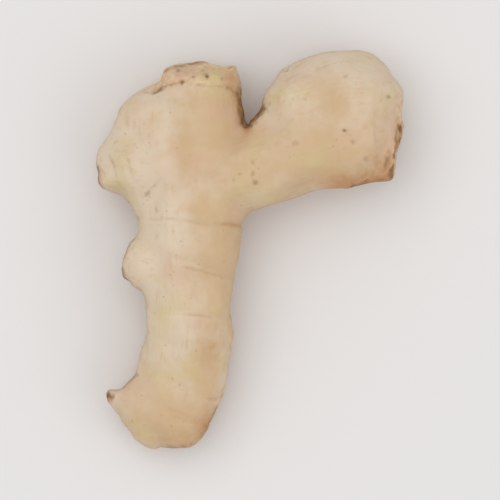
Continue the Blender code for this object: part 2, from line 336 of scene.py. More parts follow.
# %% [markdown]
# A neck carries the second lobe, as big as the crown, and a stump shows where a third
# one was snapped off.

# %% Neck, side lobe and its stump
neck = Swelling(
    (
        (-12.0, 13.8, 12.2, 8.6, 10.6),
        (-4.0, 16.4, 12.4, 9.0, 11.4),
        (4.0, 19.6, 12.7, 9.4, 12.0),
        (12.0, 23.4, 13.0, 10.4, 12.6),
        (20.0, 26.4, 13.0, 10.0, 12.2),
    ),
    4.0,
    6.0,
    blend=5.0,
)
side_lobe = Swelling(
    (
        (5.0, 23.6, 12.8, 8.4, 9.6),
        (8.0, 26.0, 12.7, 11.0, 11.4),
        (12.0, 27.9, 12.8, 13.5, 12.6),
        (17.0, 28.9, 12.8, 15.3, 13.2),
        (22.5, 29.2, 13.0, 15.7, 13.2),
        (27.0, 28.9, 13.3, 14.9, 12.8),
        (31.0, 28.5, 13.5, 13.0, 11.7),
        (35.2, 28.2, 13.7, 11.0, 10.2),
    ),
    8.0,
    8.0,
    blend=2.4,
    scars=(9.0, 14.3, 25.0),
    lean=1.6,
)
lobe_stump = Swelling(
    (
        (16.0, 23.2, 12.8, 8.8, 9.8),
        (24.0, 22.4, 12.7, 8.4, 9.6),
        (31.0, 22.2, 12.6, 7.2, 8.6),
        (36.0, 21.8, 12.6, 6.6, 7.8),
    ),
    5.0,
    1.5,
    blend=3.6,
    cut=LOBE_CUT,
)

# %% [markdown]
# Two young shoots: a small bud half way down the stem and a pointed nub on the foot.

# %% Stem bud and foot nub
stem_bud = Swelling(
    (
        (-14.5, -5.4, 12.8, 8.8, 8.2),
        (-21.0, -4.2, 13.0, 8.2, 7.6),
        (-26.0, -3.0, 13.2, 5.8, 5.8),
        (-29.6, -2.0, 13.3, 3.2, 3.4),
    ),
    3.0,
    1.8,
    blend=2.4,
    scars=(9.6, 12.4),
    lean=0.3,
)
foot_nub = Swelling(
    (
        (-18.0, -36.4, 8.5, 9.6, 8.0),
        (-24.0, -35.5, 8.5, 9.2, 7.6),
        (-28.2, -34.7, 8.6, 6.5, 5.8),
        (-31.2, -33.9, 8.8, 3.7, 3.5),
        (-33.7, -33.1, 9.0, 1.5, 1.6),
    ),
    3.0,
    1.2,
    blend=3.0,
    scars=(8.0, 11.6),
    lean=0.3,
)
swellings = [stem, stalk_stub, crown_bud, neck, side_lobe, lobe_stump, stem_bud, foot_nub]
for swelling in swellings:
    print("a swelling", swelling.length.round(1), "mm long,", len(swelling.scars), "scars")

# %% [markdown]
# ## One skin
#
# Each swelling becomes a closed tube: its grid of points, with a fan of triangles at
# either end. The tubes overlap, and a voxel Remesh melts them into one skin of even
# quads. A Boolean union would keep every tube's own edges, and its seams would show.

# %% Tubes into one mesh
VOXEL = 0.385


def tube_faces(rows, start):
    """Quads between neighbouring points of neighbouring sections, and the two fans."""
    ring = np.arange(SIDES)
    after = (ring + 1) % SIDES
    low = start + 1 + SIDES * np.arange(rows - 1)[:, None]
    quads = np.stack([low + ring, low + after, low + SIDES + after, low + SIDES + ring], axis=-1)
    first = start + 1
    last = start + 1 + SIDES * (rows - 1)
    base = np.stack([np.full(SIDES, start), first + after, first + ring], axis=-1)
    tip = np.stack([np.full(SIDES, last + SIDES), last + ring, last + after], axis=-1)
    return quads.reshape(-1, 4).tolist() + base.tolist() + tip.tolist()


def tubes():
    """Every swelling's points and faces, one after the other, in one mesh."""
    vertices, faces, start = [], [], 0
    for swelling in swellings:
        rows = swelling.surface()
        vertices += [rows[0].mean(axis=0)[None], rows.reshape(-1, 3), rows[-1].mean(axis=0)[None]]
        faces += tube_faces(len(rows), start)
        start += rows.shape[0] * SIDES + 2
    mesh = bpy.data.meshes.new("rhizome")
    mesh.from_pydata(np.concatenate(vertices) * MM, [], faces)
    return mesh


rhizome = bpy.data.objects.new("rhizome", tubes())
bpy.context.scene.collection.objects.link(rhizome)
print("tubes:", len(rhizome.data.vertices), "vertices")


# %% Reading and writing the mesh
def positions(mesh):
    """Every vertex in millimetres."""
    flat = np.empty(len(mesh.vertices) * 3, np.float32)
    mesh.vertices.foreach_get("co", flat)
    return flat.reshape(-1, 3).astype(float) / MM


def set_positions(mesh, points):
    """Moves every vertex to its point, given in millimetres."""
    mesh.vertices.foreach_set("co", (points * MM).astype(np.float32).ravel())
    mesh.update()


def normals(mesh):
    """Every vertex's unit arrow outwards."""
    flat = np.empty(len(mesh.vertices) * 3, np.float32)
    mesh.vertex_normals.foreach_get("vector", flat)
    return flat.reshape(-1, 3).astype(float)


def apply_modifiers(obj):
    """Keeps the shape that the modifiers made and takes them off."""
    graph = bpy.context.evaluated_depsgraph_get()
    obj.data = bpy.data.meshes.new_from_object(obj.evaluated_get(graph))
    obj.modifiers.clear()


# %% Melt the tubes together
melt = rhizome.modifiers.new("melt", "REMESH")
melt.mode = "VOXEL"
melt.voxel_size = VOXEL * MM
settle = rhizome.modifiers.new("settle", "SMOOTH")
settle.factor = 0.5
settle.iterations = 4
apply_modifiers(rhizome)
print("one skin:", len(rhizome.data.vertices), "vertices")

# %% [markdown]
# ## Soft junctions
#
# Flesh grows round a fork, so two swellings meet in a fillet and not in a crease. The
# skin is smoothed there only. Smoothing spreads as the square root of weight times
# passes, so the weight goes with the square of the fillet's radius.

# %% Whose skin is it
AT_JUNCTION = 0.08
OFF_JUNCTION = 0.42
WEIGHT_LEVELS = 20
RIM_REACH = 2.5
RIM_RADIUS = 1.6


def face_distances(points, cut):
    """How far each point lies in front of a cut's face, and how far from its middle."""
    offset = points - cut["at"]
    front = offset @ unit(np.array(cut["looks"]))
    across = np.sqrt(np.maximum((offset**2).sum(axis=1) - front**2, 0.0))
    return front, across


def owners(points):
    """For each point: its coordinates on the two swellings whose skin it lies nearest,
    which ones they are, and how much nearer the first is."""
    fields = np.array([swelling.coordinates(points) for swelling in swellings])
    nearest, second = fields[:, 4].argsort(axis=0)[:2]
    columns = np.arange(len(points))
    own = fields[nearest, :, columns].T
    other = fields[second, :, columns].T
    return nearest, second, own, other, other[4] - own[4]


# %% Soften where two meet
nearest, second, own, other, margin = owners(positions(rhizome.data))
blends = np.array([swelling.blend for swelling in swellings])
radius = np.maximum(blends[nearest], blends[second])
weight = (1.0 - smoothstep(margin, AT_JUNCTION, OFF_JUNCTION)) * (radius / blends.max()) ** 2
for cut in CUTS:
    front, across = face_distances(positions(rhizome.data), cut)
    at_rim = bell(front, RIM_REACH) * bell(across - cut["rim"], RIM_REACH)
    weight = np.maximum(weight, at_rim * (RIM_RADIUS / blends.max()) ** 2)
junction = rhizome.vertex_groups.new(name="junction")
for level in range(1, WEIGHT_LEVELS + 1):
    chosen = np.flatnonzero(np.round(weight * WEIGHT_LEVELS) == level)
    junction.add(chosen.tolist(), level / WEIGHT_LEVELS, "REPLACE")
soften = rhizome.modifiers.new("soften", "SMOOTH")
soften.vertex_group = junction.name
soften.factor = 0.5
soften.iterations = round(2.0 * (blends.max() / VOXEL) ** 2)
apply_modifiers(rhizome)
rhizome.vertex_groups.clear()
print("softened in", round(2.0 * (blends.max() / VOXEL) ** 2), "passes")

# %% [markdown]
# ## The main relief
#
# A root is never quite round. Long waves of many directions make it lumpy, a few
# shallow hollows were pressed by stones and by its own shrinking, the cut ends have
# dried in, and the scars of the old scale leaves ring it.

# %% Lumps, hollows and sunk ends
LUMP_HEIGHT = 0.13
LUMP_WAVES = 16
SHORTEST_LUMP = 8.0
LONGEST_LUMP = 26.0
HOLLOWS = (
    {"at": (-12.4, 21.5), "length": 12.0, "width": 4.2, "turn": 97.0, "depth": 0.8},
    {"at": (16.5, 32.0), "length": 6.0, "width": 4.0, "turn": 120.0, "depth": 0.7},
    {"at": (0.4, 21.0), "length": 6.5, "width": 2.0, "turn": 78.0, "depth": 0.7},
    {"at": (-21.2, 12.6), "length": 6.0, "width": 1.5, "turn": 65.0, "depth": 0.5},
    {"at": (-9.5, -23.0), "length": 9.0, "width": 3.0, "turn": 86.0, "depth": 0.5},
)


def lumps(points):
    """The sum of sine waves of random direction, length and phase."""
    waves = np.random.default_rng(7)
    height = np.zeros(len(points))
    for _ in range(LUMP_WAVES):
        direction = unit(waves.normal(size=3))
        length = waves.uniform(SHORTEST_LUMP, LONGEST_LUMP)
        phase = waves.uniform(0.0, 2.0 * math.pi)
        height += np.sin(2.0 * math.pi * (points @ direction) / length + phase)
    return LUMP_HEIGHT * height


def patch(points, spot):
    """A soft oval seen from above: e to the minus the sum of the squares of the
    distances along it and across it, each over its half length or half width."""
    turn = math.radians(spot["turn"])
    offset = points[:, :2] - spot["at"]
    lengthwise = offset @ [math.cos(turn), math.sin(turn)] / spot["length"]
    crosswise = offset @ [-math.sin(turn), math.cos(turn)] / spot["width"]
    return np.exp(-(lengthwise**2) - crosswise**2)


def sunk_ends(points):
    """Each cut's depth, full inside SUNK_MIDDLE of the rim and gone at the rim."""
    depth = np.zeros(len(points))
    for cut in CUTS:
        front, across = face_distances(points, cut)
        inside = 1.0 - smoothstep(across, SUNK_MIDDLE * cut["rim"], cut["rim"])
        depth += cut["sunk"] * inside * bell(front, 1.0)
    return depth


# %% Scars
RINGS_START = 0.05
RINGS_FULL = 0.3
RING_DRIFT = 0.7
FRAY = 0.16


def scars(points, nearest, own, margin):
    """The rings of each swelling on its own stretch of skin, faded at its junctions."""
    fray = RING_DRIFT * noise(points, 7.0, 11) + FRAY * noise(points, 1.2, 12)
    height, frayed, dark = np.zeros((3, len(points)))
    clear = smoothstep(margin, RINGS_START, RINGS_FULL)
    for number, swelling in enumerate(swellings):
        here = nearest == number
        rings = swelling.rings(own[2, here], own[3, here], fray[here])
        height[here], frayed[here], dark[here] = clear[here] * rings
    worn = smoothstep(noise(points, 6.0, 13) + 0.3 * noise(points, 1.2, 14), -0.55, 0.4)
    return height, frayed * worn, dark * worn


# %% Raise the main relief
points = positions(rhizome.data)
outward = normals(rhizome.data)
nearest, second, own, other, margin = owners(points)
ring_height, frayed_lip, scar_line = scars(points, nearest, own, margin)
facing_up = smoothstep(outward[:, 2], 0.0, 0.5)
hollow = sum(spot["depth"] * patch(points, spot) for spot in HOLLOWS) * facing_up
relief = lumps(points) + ring_height - hollow - sunk_ends(points)
points += outward * relief[:, None]
print("main relief from", relief.min().round(2), "to", relief.max().round(2), "mm")

# %% [markdown]
# ## Correcting the outline
#
# A chain of ovals is a little too regular. A sculptor would take a grab brush: at a
# place seen from above it drags the skin some way, fully in the middle and less and
# less with a bell outwards. No drag is longer than its reach, so nothing folds over.

# %% Grabs
GRABS = (
    {"at": (-28.5, 30.0), "reach": 6.5, "by": (-1.1, 0.2)},
    {"at": (-30.6, 27.2), "reach": 2.2, "by": (-0.5, 0.0)},
    {"at": (-19.3, 38.6), "reach": 2.6, "by": (-0.7, 0.3)},
    {"at": (2.4, 28.9), "reach": 2.2, "by": (-1.9, 0.0)},
    {"at": (5.0, 38.4), "reach": 3.0, "by": (0.8, -0.5)},
    {"at": (29.0, 14.0), "reach": 4.0, "by": (0.0, 1.1)},
    {"at": (33.2, 35.6), "reach": 2.8, "by": (0.9, 0.2)},
    {"at": (-32.2, 13.6), "reach": 2.6, "by": (-1.2, 0.2)},
    {"at": (-30.8, 12.2), "reach": 1.8, "by": (0.3, 0.8)},
    {"at": (-33.8, 15.4), "reach": 1.8, "by": (-0.6, 0.0)},
    {"at": (-26.4, 10.4), "reach": 2.2, "by": (-0.3, -0.9)},
    {"at": (-23.6, -16.0), "reach": 6.0, "by": (0.8, 0.0)},
    {"at": (-27.6, -28.7), "reach": 2.4, "by": (0.5, -0.5)},
    {"at": (-13.3, -44.0), "reach": 2.6, "by": (0.2, -0.8)},
    {"at": (-17.4, -44.4), "reach": 3.2, "by": (0.0, -0.5)},
    {"at": (-26.2, 2.0), "reach": 2.4, "by": (-0.9, 0.4)},
    {"at": (-31.3, -33.6), "reach": 2.2, "by": (-1.1, 0.0)},
    {"at": (-30.6, -30.6), "reach": 1.8, "by": (0.1, -1.5)},
    {"at": (-9.5, -38.5), "reach": 5.0, "by": (-0.8, 0.4)},
    {"at": (-11.5, 41.6), "reach": 1.6, "by": (0.0, 0.7)},
    {"at": (-6.0, 41.5), "reach": 1.4, "by": (0.0, -0.3)},
)


def grabbed(points):
    """The points with every drag added, each weighed where the point lay before."""
    moved = points.copy()
    for grab in GRABS:
        away = np.linalg.norm(points[:, :2] - grab["at"], axis=1)
        moved[:, :2] += bell(away, grab["reach"])[:, None] * grab["by"]
    return moved


points = grabbed(points)
print("grabbed in", len(GRABS), "places")

# %% [markdown]
# ## Fitting the frame
#
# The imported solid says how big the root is, so the mesh is scaled to its box. Half a
# millimetre is left below the table, to be pressed flat where the root rests.

# %% Fit to the frame
REST_FLAT = 0.5


def fitted(points):
    """The points scaled along each axis from their own box to the frame's box, whose
    floor is lowered by REST_FLAT."""
    low, high = points.min(axis=0), points.max(axis=0)
    floor = low_corner - [0.0, 0.0, REST_FLAT]
    return floor + (points - low) * (high_corner - floor) / (high - low)


points = fitted(points)
set_positions(rhizome.data, points)
outward = normals(rhizome.data)

# %% [markdown]
# ## Fine relief of the skin
#
# Close to, the skin is drawn into faint wrinkles along each swelling, the scars carry
# a frayed papery edge, and there are small dents. The wrinkles are noise read in the
# swelling's own directions and stretched along its axis. Near a fork the two owners'
# wrinkles are cross-faded, so that no seam shows.

# %% Wrinkles, fray and dents
WRINKLE_SIZE = 1.3
WRINKLE_STRETCH = 6.0
WRINKLE_HEIGHT = 0.06
FRAY_HEIGHT = 0.10
DENT_HEIGHT = 0.07


def wrinkles(fields, number, size, seed):
    """Noise at (side, up, along divided by WRINKLE_STRETCH), shifted for each swelling."""
    side, up, along = fields[:3]
    read_at = np.stack([side, up, along / WRINKLE_STRETCH], axis=1) + 37.0 * number[:, None]
    return noise(read_at, size, seed)


keep_own = 0.5 + 0.5 * smoothstep(margin, 0.0, RINGS_FULL)
creased = np.zeros(len(points))
for size, seed in ((WRINKLE_SIZE, 21), (0.5 * WRINKLE_SIZE, 22)):
    mine = wrinkles(own, nearest, size, seed)
    theirs = wrinkles(other, second, size, seed)
    creased += size / WRINKLE_SIZE * (keep_own * mine + (1.0 - keep_own) * theirs)
skin_relief = WRINKLE_HEIGHT * creased
skin_relief += FRAY_HEIGHT * frayed_lip * (0.65 + 0.6 * noise(points, 1.1, 23))
skin_relief += DENT_HEIGHT * noise(points, 4.0, 24)
print("skin relief from", skin_relief.min().round(2), "to", skin_relief.max().round(2), "mm")

# %% [markdown]
# ## The corky ends
#
# A cut end is a rough disc: a raised callus round the rim, a faint ring where the
# stalk's core begins, and the torn ends of fibres. Cork also creeps a little way back
# over the skin behind the rim, and where the skin tore it dried to a dark broken line.
# Places and widths on the face are shares of the rim's radius.

# %% Cork on the cut ends
CALLUS_HEIGHT = 0.42
CALLUS_PLACE = 0.92
CALLUS_WIDTH = 0.16
CORE_GROOVE = 0.14
CORE_PLACE = 0.55
CORE_WIDTH = 0.06
CRUMB_HEIGHT = 0.16
CRUMB_SIZE = 1.9
CORK_BEHIND = 0.75
CREEP_EDGE = (-0.5, 0.6)
FACE_EDGE = 2.1
FACE_TURN = (0.4, 0.8)
FACE_DEPTH = (-2.2, -1.0)
TORN_TURN = 0.82
TORN_WIDTH = 0.16
TORN_REACH = 2.5
TORN_FROM = (0.6, 0.9)
TORN_TO = (1.15, 1.5)


def cork_end(points, outward, cut):
    """How corky each point is, its relief and how torn: the callus is a bell round the
    rim, the core ring a narrow groove, and the crumbs two octaves of noise. Torn is a
    bell where the skin has turned TORN_TURN of the way to the face."""
    front, across = face_distances(points, cut)
    close = across / cut["rim"]
    at_end = 1.0 - smoothstep(close, 0.9 * FACE_EDGE, FACE_EDGE)
    looks = unit(np.array(cut["looks"]))
    facing = outward @ looks
    on_face = smoothstep(facing, *FACE_TURN) * smoothstep(front, *FACE_DEPTH)
    sideways = (points - cut["at"]) @ [looks[1], -looks[0], 0.0]
    creep = np.interp(sideways, *np.transpose(cut["creep"]))
    ragged = front + creep + 0.7 * noise(points, 2.2, 31) + 0.4 * noise(points, 0.9, 32)
    cork = at_end * np.maximum(on_face, CORK_BEHIND * smoothstep(ragged, *CREEP_EDGE))
    callus = CALLUS_HEIGHT * bell(close - CALLUS_PLACE, CALLUS_WIDTH)
    callus *= 0.5 + 0.9 * noise(points, 2.6, 33)
    core = CORE_GROOVE * bell(close - CORE_PLACE, CORE_WIDTH)
    crumbs = noise(points, CRUMB_SIZE, 34) + 0.5 * noise(points, 0.9, 35)
    torn = cut["torn"] * at_end * bell(facing - TORN_TURN, TORN_WIDTH) * bell(front, TORN_REACH)
    torn *= smoothstep(close, *TORN_FROM) * (1.0 - smoothstep(close, *TORN_TO))
    return cork, cork * (callus - core + CRUMB_HEIGHT * crumbs), torn


cork = np.zeros(len(points))
cork_relief = np.zeros(len(points))
torn_rim = np.zeros(len(points))
for cut in CUTS:
    mask, height, torn = cork_end(points, outward, cut)
    cork = np.maximum(cork, mask)
    cork_relief += height
    torn_rim = np.maximum(torn_rim, torn)
print("corky share of the skin:", cork.mean().round(3))

# %% [markdown]
# ## Marks of this root
#
# The rest is what makes it this root and no other: pits, specks, creases and the
# wrinkled brown corner of the side lobe. Each mark is a place or a path seen from
# above, in millimetres, with its size, its depth and how dark it is. An edge is a dark
# stroke alone, with no depth: painted shade where the skin turns out of sight.

# %% Pits, creases, painted edge shade and wrinkled corner
PITS = (
    {"at": (-9.5, 38.7), "radius": 0.7, "depth": 0.4, "dark": 0.85},
    {"at": (-15.2, 37.3), "radius": 0.6, "depth": 0.4, "dark": 0.75},
    {"at": (-16.0, 40.0), "radius": 0.5, "depth": 0.2, "dark": 0.5},
    {"at": (-12.6, 38.4), "radius": 0.5, "depth": 0.2, "dark": 0.5},
    {"at": (-6.2, 38.0), "radius": 0.5, "depth": 0.2, "dark": 0.45},
    {"at": (1.2, 14.8), "radius": 0.75, "depth": 0.3, "dark": 0.48},
    {"at": (0.7, 16.8), "radius": 0.65, "depth": 0.25, "dark": 0.36},
    {"at": (0.7, 19.5), "radius": 0.5, "depth": 0.15, "dark": 0.35},
    {"at": (-2.3, 16.8), "radius": 0.5, "depth": 0.15, "dark": 0.35},
    {"at": (-3.6, 15.5), "radius": 0.5, "depth": 0.15, "dark": 0.4},
    {"at": (-25.7, 23.6), "radius": 0.6, "depth": 0.12, "dark": 0.3},
    {"at": (-28.6, 21.8), "radius": 0.6, "depth": 0.12, "dark": 0.25},
    {"at": (-27.0, 19.6), "radius": 0.5, "depth": 0.1, "dark": 0.2},
    {"at": (21.3, 38.4), "radius": 0.7, "depth": 0.12, "dark": 0.35},
    {"at": (30.9, 33.9), "radius": 0.65, "depth": 0.2, "dark": 0.5},
    {"at": (29.0, 33.0), "radius": 0.5, "depth": 0.12, "dark": 0.3},
    {"at": (21.0, 26.3), "radius": 0.5, "depth": 0.3, "dark": 0.6},
    {"at": (22.8, 23.8), "radius": 0.65, "depth": 0.25, "dark": 0.45},
    {"at": (25.7, 20.1), "radius": 0.75, "depth": 0.15, "dark": 0.36},
    {"at": (10.1, 23.6), "radius": 1.1, "depth": 0.1, "dark": 0.28},
    {"at": (-26.6, -41.0), "radius": 0.5, "depth": 0.1, "dark": 0.2},
)
CREASES = (
    {"path": ((-24.4, 35.2), (-21.4, 35.1)), "width": 0.4, "depth": 0.1, "dark": 0.35},
    {"path": ((-21.4, 35.1), (-18.8, 36.5)), "width": 0.5, "depth": 0.3, "dark": 0.6},
    {"path": ((-18.8, 36.5), (-15.2, 37.3)), "width": 0.4, "depth": 0.2, "dark": 0.45},
    {"path": ((-14.6, 37.2), (-10.4, 36.5), (-5.0, 36.2)), "width": 0.4, "depth": 0.15, "dark": 0.35},
    {"path": ((-5.0, 36.2), (-2.9, 34.9)), "width": 0.5, "depth": 0.2, "dark": 0.45},
    {"path": ((-20.0, 15.6), (-23.2, 12.0)), "width": 0.6, "depth": 0.12, "dark": 0.4},
    {"path": ((-20.8, 9.9), (-20.8, 8.6)), "width": 0.5, "depth": 0.08, "dark": 0.35},
    {"path": ((21.0, 26.3), (22.8, 23.8)), "width": 0.35, "depth": 0.08, "dark": 0.25},
    {"path": ((30.9, 21.4), (30.6, 19.8), (30.1, 18.0)), "width": 0.9, "depth": 0.3, "dark": 0.5},
    {"path": ((28.4, 20.6), (28.0, 18.6), (27.4, 16.4)), "width": 0.7, "depth": 0.2, "dark": 0.25},
    {"path": ((26.2, 18.4), (26.0, 15.4)), "width": 0.6, "depth": 0.15, "dark": 0.2},
    {"path": ((33.7, 27.6), (33.1, 23.6), (32.3, 20.5)), "width": 0.6, "depth": 0.1, "dark": 0.85},
    {"path": ((31.9, 18.6), (31.5, 15.8)), "width": 0.8, "depth": 0.15, "dark": 0.85},
)
PAINTED_EDGE_SHADE = (
    {"path": ((-34.2, 18.6), (-34.2, 15.0), (-33.3, 12.8)), "width": 0.9, "dark": 0.65},
    {"path": ((-26.2, 2.4), (-29.1, -2.7), (-28.1, -6.2), (-26.4, -8.6)), "width": 0.7, "dark": 0.6},
    {"path": ((-25.4, -27.8), (-28.6, -30.6)), "width": 0.7, "dark": 0.5},
    {"path": ((-31.8, -32.6), (-32.4, -33.2)), "width": 1.3, "dark": 0.85},
    {"path": ((-30.8, -36.4), (-28.6, -39.0)), "width": 0.6, "dark": 0.2},
    {"path": ((-20.0, -44.5), (-13.6, -44.0), (-10.4, -41.1)), "width": 0.7, "dark": 0.4},
    {"path": ((-10.4, -41.1), (-7.9, -36.9), (-7.0, -35.0)), "width": 0.8, "dark": 0.5},
    {"path": ((-2.5, 35.6), (-2.0, 32.0), (-1.2, 27.9)), "width": 1.1, "dark": 0.65},
    {"path": ((-0.6, 27.6), (1.0, 29.2), (3.1, 31.8)), "width": 1.0, "dark": 0.85},
    {"path": ((31.5, 15.3), (26.4, 14.9), (23.0, 14.1)), "width": 0.7, "dark": 0.7},
    {"path": ((-18.8, 39.8), (-16.8, 40.9), (-10.5, 42.4)), "width": 0.5, "dark": 0.5},
)
CORNER = {"at": (28.8, 17.8), "length": 4.0, "width": 4.6, "turn": 82.0}
CORNER_WRINKLE = 0.16
CORNER_WAVE = 2.1
PIT_DEPTH = 0.55
PIT_RIM = 0.15
PIT_RIM_PLACE = 1.6
PIT_RIM_WIDTH = 0.4
MARK_WOBBLE = 0.6
UPPER_SIDE = (0.0, 0.3)
UPPER_AND_SIDES = (-0.3, 0.05)


def path_distance(points, path):
    """Distance from above to a line of straight pieces. For each piece it is the length
    of the offset from its start, less the share along the piece, held to 0 to 1."""
    nearest = np.full(len(points), np.inf)
    for start, end in itertools.pairwise(path):
        way = np.subtract(end, start)
        offset = points[:, :2] - start
        share = np.clip(offset @ way / (way @ way), 0.0, 1.0)
        away = np.linalg.norm(offset - share[:, None] * way, axis=1)
        nearest = np.minimum(nearest, away)
    return nearest


upper = smoothstep(outward[:, 2], *UPPER_SIDE)
sideways_or_up = smoothstep(outward[:, 2], *UPPER_AND_SIDES)
mark_relief = np.zeros(len(points))
wobble = 1.0 + MARK_WOBBLE * noise(points, 1.3, 41)
broken = smoothstep(noise(points, 1.3, 43), -0.55, 0.15)
speck_and_edge_shade = torn_rim * (0.4 + 0.6 * broken)
for pit in PITS:
    away = np.linalg.norm(points[:, :2] - pit["at"], axis=1) * wobble
    spot = bell(away, pit["radius"]) * upper
    rim = bell(away - PIT_RIM_PLACE * pit["radius"], PIT_RIM_WIDTH) * upper
    mark_relief += PIT_DEPTH * pit["depth"] * (PIT_RIM * rim - spot)
    speck_and_edge_shade = np.maximum(speck_and_edge_shade, pit["dark"] * spot)
for crease in CREASES:
    line = bell(path_distance(points, crease["path"]) * wobble, crease["width"]) * upper
    mark_relief -= crease["depth"] * line * (0.3 + 0.7 * broken)
    speck_and_edge_shade = np.maximum(speck_and_edge_shade, crease["dark"] * line * (0.5 + 0.5 * broken))
# Edges are painted shade: a dark stroke along the outline where the skin turns away.
for edge in PAINTED_EDGE_SHADE:
    line = bell(path_distance(points, edge["path"]) * wobble, edge["width"]) * sideways_or_up
    speck_and_edge_shade = np.maximum(speck_and_edge_shade, edge["dark"] * line * (0.5 + 0.5 * broken))
corner = patch(points, CORNER) * upper
turn = math.radians(CORNER["turn"])
across_corner = points[:, :2] @ [-math.sin(turn), math.cos(turn)] + 0.8 * noise(points, 3.0, 42)
mark_relief += corner * CORNER_WRINKLE * np.sin(2.0 * math.pi * across_corner / CORNER_WAVE)
print("marks reach", mark_relief.min().round(2), "to", mark_relief.max().round(2), "mm")

# %% [markdown]
# Small round scars are left where rootlets were rubbed off, mostly on the underside.
# They are scattered by a seeded draw: random places in the box, moved to the nearest
# skin.

# %% Rootlet scars
ROOTLETS = 46
ROOTLET_RADIUS = (0.5, 1.0)
ROOTLET_RIM = 0.08
ROOTLET_DARK = 0.65
RIM_DARK = 0.2
LOWER_SHARE = 0.6


def on_skin(places, points):
    """The skin point nearest to each place."""
    squares = (points**2).sum(axis=1)
    return points[(squares - 2.0 * places @ points.T).argmin(axis=1)]


draw = np.random.default_rng(5)
lower_box = np.array([*high_corner[:2], LOWER_SHARE * high_corner[2]])
rootlets = on_skin(draw.uniform(low_corner, lower_box, (ROOTLETS, 3)), points)
radii = draw.uniform(*ROOTLET_RADIUS, ROOTLETS)
for place, size in zip(rootlets, radii):
    away = np.linalg.norm(points - place, axis=1) * wobble
    rim = bell(away - size, 0.35 * size)
    middle = bell(away, 0.6 * size)
    mark_relief += ROOTLET_RIM * rim - 1.5 * ROOTLET_RIM * middle
    speck_and_edge_shade = np.maximum(speck_and_edge_shade, ROOTLET_DARK * middle + RIM_DARK * rim)
print(ROOTLETS, "rootlet scars")

# %% Raise the fine relief and press the flats
fine = skin_relief * (1.0 - 0.8 * cork) + cork_relief + mark_relief
points = fitted(points + outward * fine[:, None])
points[:, 2] = np.maximum(points[:, 2], 0.0)
set_positions(rhizome.data, points)
rhizome.data.shade_smooth()
outward = normals(rhizome.data)
print("finished skin:", points.min(axis=0).round(2), points.max(axis=0).round(2), "mm")

# %% [markdown]
# ## Where the colour changes
#
# Colour follows growth and handling: warm tan on the foot, brown where the skin is
# bruised and round the cork, and a touch of olive or pink where it is young. Painted
# shade is laid in too: tan in the hollows and down the trunk's right side, brown along
# the side lobe's lower edge and in the notch. Each patch is a soft oval seen from above.
# The flanks, which turn down towards the table, are painted darker and warmer all round
# as painted shade. The masks go into the mesh as attributes, which the material reads.

# %% Tan, olive and pink patches, brown stains
# Tan patches are partly the root's own tan, as on the foot, and partly painted shade: in the hollows,
# down the trunk's right side, in the crown's middle and on its upper left, where the lamp falls
# strongest.
TAN_AND_SHADE_PATCHES = (
    {"at": (-7.5, 27.0), "length": 15.0, "width": 10.5, "turn": 94.0, "strength": 1.0},
    {"at": (1.0, 19.0), "length": 13.0, "width": 10.0, "turn": 15.0, "strength": 0.9},
    {"at": (19.0, 22.0), "length": 17.0, "width": 13.0, "turn": 8.0, "strength": 1.0},
    {"at": (18.8, 31.6), "length": 8.0, "width": 6.0, "turn": 120.0, "strength": 1.0},
    {"at": (-21.0, 28.5), "length": 6.0, "width": 5.0, "turn": 60.0, "strength": 0.5},
    {"at": (-10.0, 9.0), "length": 7.0, "width": 5.0, "turn": 80.0, "strength": 1.0},
    {"at": (8.0, 13.0), "length": 12.0, "width": 5.0, "turn": 15.0, "strength": 0.8},
    {"at": (-5.0, -2.0), "length": 28.0, "width": 8.5, "turn": 89.0, "strength": 1.0},
    {"at": (-9.8, -27.5), "length": 12.0, "width": 4.6, "turn": 86.0, "strength": 1.0},
    {"at": (-13.5, 23.0), "length": 10.0, "width": 5.0, "turn": 97.0, "strength": 1.0},
    {"at": (-17.0, -39.0), "length": 15.0, "width": 10.0, "turn": 0.0, "strength": 1.0},
    {"at": (-9.6, -38.4), "length": 5.0, "width": 3.0, "turn": 55.0, "strength": 1.0},
)
OLIVE_PATCHES = (
    {"at": (-7.8, 38.8), "length": 2.8, "width": 2.2, "turn": 0.0, "strength": 1.0},
    {"at": (6.0, 34.6), "length": 2.6, "width": 1.4, "turn": 60.0, "strength": 0.8},
    {"at": (-30.0, 14.4), "length": 2.6, "width": 1.6, "turn": 130.0, "strength": 0.8},
    {"at": (-24.3, -40.4), "length": 3.4, "width": 1.6, "turn": 125.0, "strength": 0.8},
    {"at": (13.0, 20.6), "length": 6.0, "width": 3.0, "turn": 10.0, "strength": 0.5},
    {"at": (-20.0, -17.5), "length": 5.0, "width": 2.5, "turn": 90.0, "strength": 0.4},
)
PINK_PATCHES = (
    {"at": (-15.6, 38.8), "length": 3.0, "width": 1.8, "turn": 20.0, "strength": 1.0},
    {"at": (-4.2, 32.0), "length": 6.0, "width": 1.6, "turn": 98.0, "strength": 0.9},
    {"at": (-10.4, -37.0), "length": 3.6, "width": 2.0, "turn": 60.0, "strength": 0.6},
    {"at": (30.5, 17.4), "length": 3.0, "width": 2.4, "turn": 0.0, "strength": 0.9},
    {"at": (32.0, 24.0), "length": 5.0, "width": 1.6, "turn": 100.0, "strength": 0.7},
    {"at": (2.0, 26.0), "length": 2.6, "width": 1.6, "turn": 30.0, "strength": 0.7},
)
